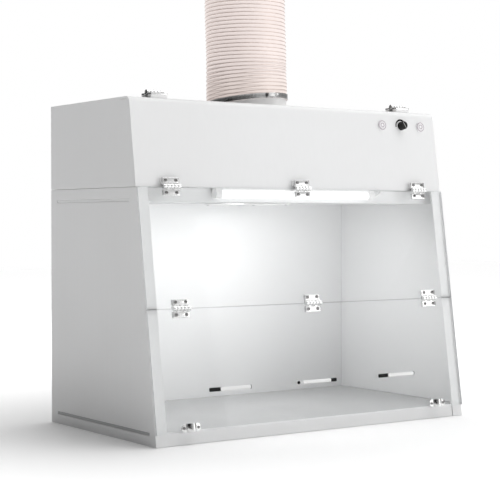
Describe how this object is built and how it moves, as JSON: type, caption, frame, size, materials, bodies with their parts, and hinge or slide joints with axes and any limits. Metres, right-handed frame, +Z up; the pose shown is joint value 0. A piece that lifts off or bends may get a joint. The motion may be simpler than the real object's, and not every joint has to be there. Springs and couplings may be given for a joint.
{
  "type": "fume hood",
  "caption": "Benchtop fume hood: white sheet cabinet with a hinged bi-fold clear front, lamp, control header with fan, and a round exhaust hose on top.",
  "frame": {"origin": "centre of the cabinet's footprint, on the surface that it stands on", "axes": "+Z up, +X to the right of a person facing the hood, -Y out of the front towards them"},
  "size_m": [0.8, 0.4474, 0.9633],
  "materials": {
    "white_sheet": "satin extruded sheet",
    "grey_worktop": "glossy sheet",
    "white_moulded": "satin moulded",
    "dark_moulded": "satin moulded",
    "black_moulded": "fine matte",
    "steel": "brushed stainless",
    "zinc_chrome": "polished plated zinc",
    "hose_film": "thin translucent film on a wire helix",
    "lamp_diffuser": "frosted diffuser",
    "pale_button": "gloss moulded",
    "clear_acrylic": "clear polished sheet"
  },
  "bodies": {
    "cabinet": {"left_side_panel": "white_sheet", "right_side_panel": "white_sheet", "back_panel": "white_sheet", "worktop": "grey_worktop", "front_rail": "white_sheet", "base_stiffener": "white_sheet", "plenum_panel": "white_sheet", "intake_grille": "dark_moulded", "header_left_side": "white_sheet", "header_right_side": "white_sheet", "header_back": "white_sheet", "header_floor": "white_sheet", "header_top": "white_sheet", "duct_collar": "white_moulded", "duct_hose": "hose_film", "clamp_band": "steel", "clamp_screw": "steel", "hose_cuff": "white_moulded", "fan_housing": "dark_moulded", "motor_spider": "dark_moulded", "fan_motor": "steel", "lamp_base": "white_moulded", "lamp_tube": "lamp_diffuser", "lamp_left_cap": "white_moulded", "lamp_right_cap": "white_moulded", "lamp_lead": "white_moulded", "control_box": "dark_moulded", "power_inlet": "black_moulded", "cover_hinge_fixed_leaf_left": "zinc_chrome", "cover_hinge_fixed_leaf_right": "zinc_chrome"},
    "header_cover": {"header_cover": "white_sheet", "fan_switch_body": "pale_button", "light_switch_body": "pale_button", "speed_control": "black_moulded", "cover_hinge_moving_leaf_left": "zinc_chrome", "cover_hinge_moving_leaf_right": "zinc_chrome", "top_hinge_upper_leaf_left": "zinc_chrome", "top_hinge_upper_leaf_centre": "zinc_chrome", "top_hinge_upper_leaf_right": "zinc_chrome"},
    "upper_sash": {"upper_sash": "clear_acrylic", "top_hinge_lower_leaf_left": "zinc_chrome", "top_hinge_lower_leaf_centre": "zinc_chrome", "top_hinge_lower_leaf_right": "zinc_chrome", "fold_hinge_upper_leaf_left": "zinc_chrome", "fold_hinge_upper_leaf_centre": "zinc_chrome", "fold_hinge_upper_leaf_right": "zinc_chrome"},
    "lower_sash": {"lower_sash": "clear_acrylic", "fold_hinge_lower_leaf_left": "zinc_chrome", "fold_hinge_lower_leaf_centre": "zinc_chrome", "fold_hinge_lower_leaf_right": "zinc_chrome", "grip_bar_left": "white_moulded", "grip_bar_centre": "white_moulded", "grip_bar_right": "white_moulded", "left_lift_loop": "zinc_chrome", "right_lift_loop": "zinc_chrome"},
    "speed_knob": {"speed_knob": "black_moulded"},
    "fan_button": {"fan_button": "pale_button"},
    "light_button": {"light_button": "pale_button"},
    "impeller": {"fan_impeller": "black_moulded"}
  },
  "joints": [
    {"name": "cover_hinge", "type": "hinge", "parent": "cabinet", "child": "header_cover", "pos_m": [0, -0.0839, 0.6925], "axis": [-1, 0, 0], "range_deg": [0, 75]},
    {"name": "upper_sash_hinge", "type": "hinge", "parent": "header_cover", "child": "upper_sash", "pos_m": [0, -0.15382, 0.50274], "axis": [-1, 0, 0], "range_deg": [0, 90]},
    {"name": "fold_hinge", "type": "hinge", "parent": "upper_sash", "child": "lower_sash", "pos_m": [0, -0.18952, 0.26374], "axis": [-1, 0, 0], "range_deg": [0, 165]},
    {"name": "knob_turn", "type": "hinge", "parent": "header_cover", "child": "speed_knob", "pos_m": [0.301, -0.12033, 0.647], "axis": [0, 0.989, -0.1478], "range_deg": [-120, 180]},
    {"name": "fan_button_press", "type": "slide", "parent": "header_cover", "child": "fan_button", "axis": [0, 0.989, -0.1478], "range_m": [0, 0.0025], "stiffness_N_per_m": 400},
    {"name": "light_button_press", "type": "slide", "parent": "header_cover", "child": "light_button", "axis": [0, 0.989, -0.1478], "range_m": [0, 0.0025], "stiffness_N_per_m": 400},
    {"name": "fan_spin", "type": "hinge", "parent": "cabinet", "child": "impeller", "pos_m": [0, 0.053, 0.6], "axis": [0, 0, 1], "continuous": true}
  ]
}
